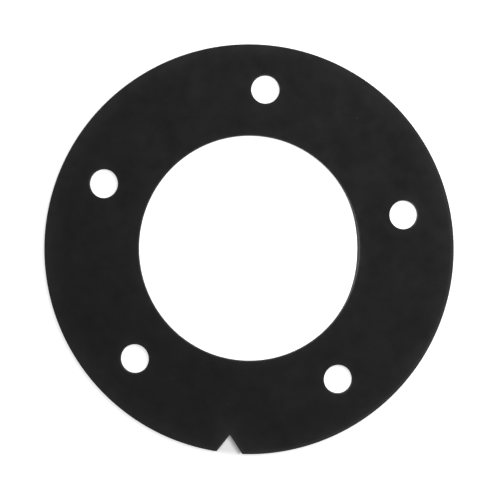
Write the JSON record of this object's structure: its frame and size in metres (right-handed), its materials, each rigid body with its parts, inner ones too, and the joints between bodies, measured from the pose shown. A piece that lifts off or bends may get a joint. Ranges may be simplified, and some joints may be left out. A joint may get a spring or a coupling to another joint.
{
  "type": "fuel tank sending unit gasket",
  "caption": "Flat round rubber gasket with a wide bore, a ring of screw holes and a small notch in its rim. It seals a sending unit's flange to a fuel tank.",
  "frame": {"origin": "centre of the bore, on the face that lies on the tank", "axes": "+Z along the bore, out of the tank; +Y towards the first screw hole; -Y towards the notch"},
  "size_m": [0.0698, 0.0697, 0.0016],
  "materials": {
    "rubber": "matte black sheet rubber, faintly mottled, with die-cut edges"
  },
  "bodies": {
    "root": {"gasket": "rubber"}
  },
  "joints": []
}
